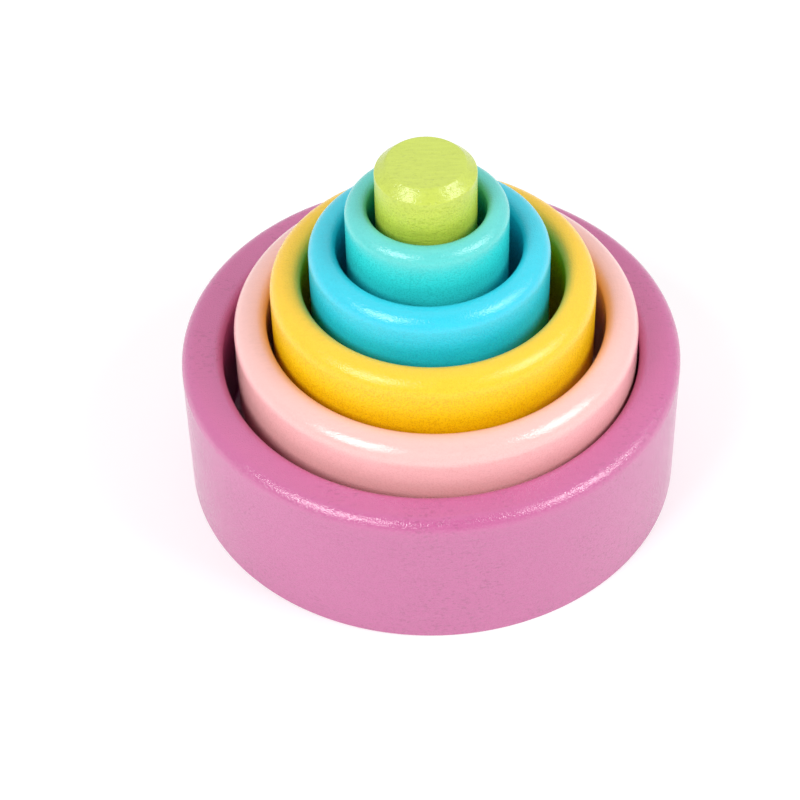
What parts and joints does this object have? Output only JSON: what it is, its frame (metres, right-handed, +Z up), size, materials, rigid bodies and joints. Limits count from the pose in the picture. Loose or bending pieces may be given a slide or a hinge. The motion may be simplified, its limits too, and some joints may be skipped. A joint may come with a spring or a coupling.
{
  "type": "nesting cup toy",
  "caption": "Nesting and stacking toy: round turned wooden cups, each standing in the hollow of the next bigger one round a solid bevelled peg, painted in plain colours.",
  "frame": {"origin": "on the surface the toy stands on, under the middle of the biggest cup", "axes": "+Z up, along the axis that every piece was turned on; the cups slide apart along it. +X to the right and +Y away from a viewer in front."},
  "size_m": [0.115, 0.115, 0.09],
  "materials": {
    "magenta_paint": "satin paint over fine-grained turned wood",
    "pink_paint": "satin paint over fine-grained turned wood",
    "yellow_paint": "satin paint over fine-grained turned wood",
    "blue_paint": "satin paint over fine-grained turned wood",
    "mint_paint": "satin paint over fine-grained turned wood",
    "green_paint": "satin paint over fine-grained turned wood"
  },
  "bodies": {
    "magenta_cup": {"magenta_cup": "magenta_paint"},
    "pink_cup": {"pink_cup": "pink_paint"},
    "yellow_cup": {"yellow_cup": "yellow_paint"},
    "blue_cup": {"blue_cup": "blue_paint"},
    "mint_cup": {"mint_cup": "mint_paint"},
    "green_peg": {"green_peg": "green_paint"}
  },
  "joints": [
    {"name": "lift_pink_cup", "type": "slide", "parent": "magenta_cup", "child": "pink_cup", "axis": [0, 0, 1], "range_m": [0, 0.037]},
    {"name": "lift_yellow_cup", "type": "slide", "parent": "pink_cup", "child": "yellow_cup", "axis": [0, 0, 1], "range_m": [0, 0.037]},
    {"name": "lift_blue_cup", "type": "slide", "parent": "yellow_cup", "child": "blue_cup", "axis": [0, 0, 1], "range_m": [0, 0.037]},
    {"name": "lift_mint_cup", "type": "slide", "parent": "blue_cup", "child": "mint_cup", "axis": [0, 0, 1], "range_m": [0, 0.037]},
    {"name": "lift_green_peg", "type": "slide", "parent": "mint_cup", "child": "green_peg", "axis": [0, 0, 1], "range_m": [0, 0.037]}
  ]
}
